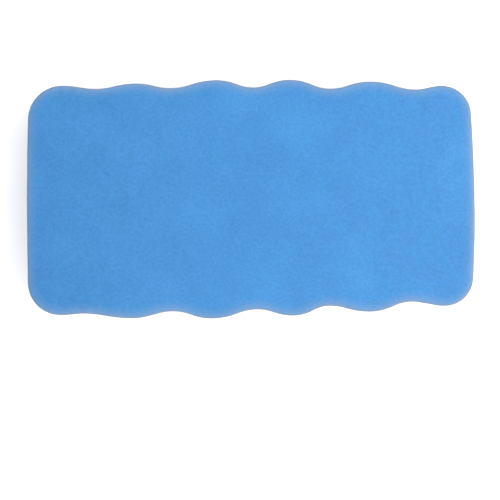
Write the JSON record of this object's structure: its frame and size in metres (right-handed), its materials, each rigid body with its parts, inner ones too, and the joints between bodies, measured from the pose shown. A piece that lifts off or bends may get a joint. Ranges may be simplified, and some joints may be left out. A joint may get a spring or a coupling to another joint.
{
  "type": "board eraser",
  "caption": "Hand-held board eraser: a thick foam grip with scalloped finger sides, a firm dark foam backing sheet with disc magnets, and a felt wiping pad, glued in layers.",
  "frame": {"origin": "centre of the bounding box on the wiping face of the felt", "axes": "+X along the length towards the narrower end, +Y across the width towards the side with the level row of finger scallops, +Z from the felt to the foam back"},
  "size_m": [0.11, 0.0586, 0.021],
  "materials": {
    "grip_foam": "matt closed-cell EVA foam, sky blue, soft sheen and fine die-cut sides",
    "glue": "thin translucent contact adhesive",
    "backing_foam": "matt black firm EVA foam",
    "magnet": "bare ground ferrite",
    "felt": "needle-punched grey felt, mottled, with loose fibres"
  },
  "bodies": {
    "root": {"foam_grip": "grip_foam", "upper_glue_film": "glue", "foam_backing": "backing_foam", "magnet_left": "magnet", "magnet_right": "magnet", "lower_glue_film": "glue", "felt_pad": "felt"}
  },
  "joints": []
}
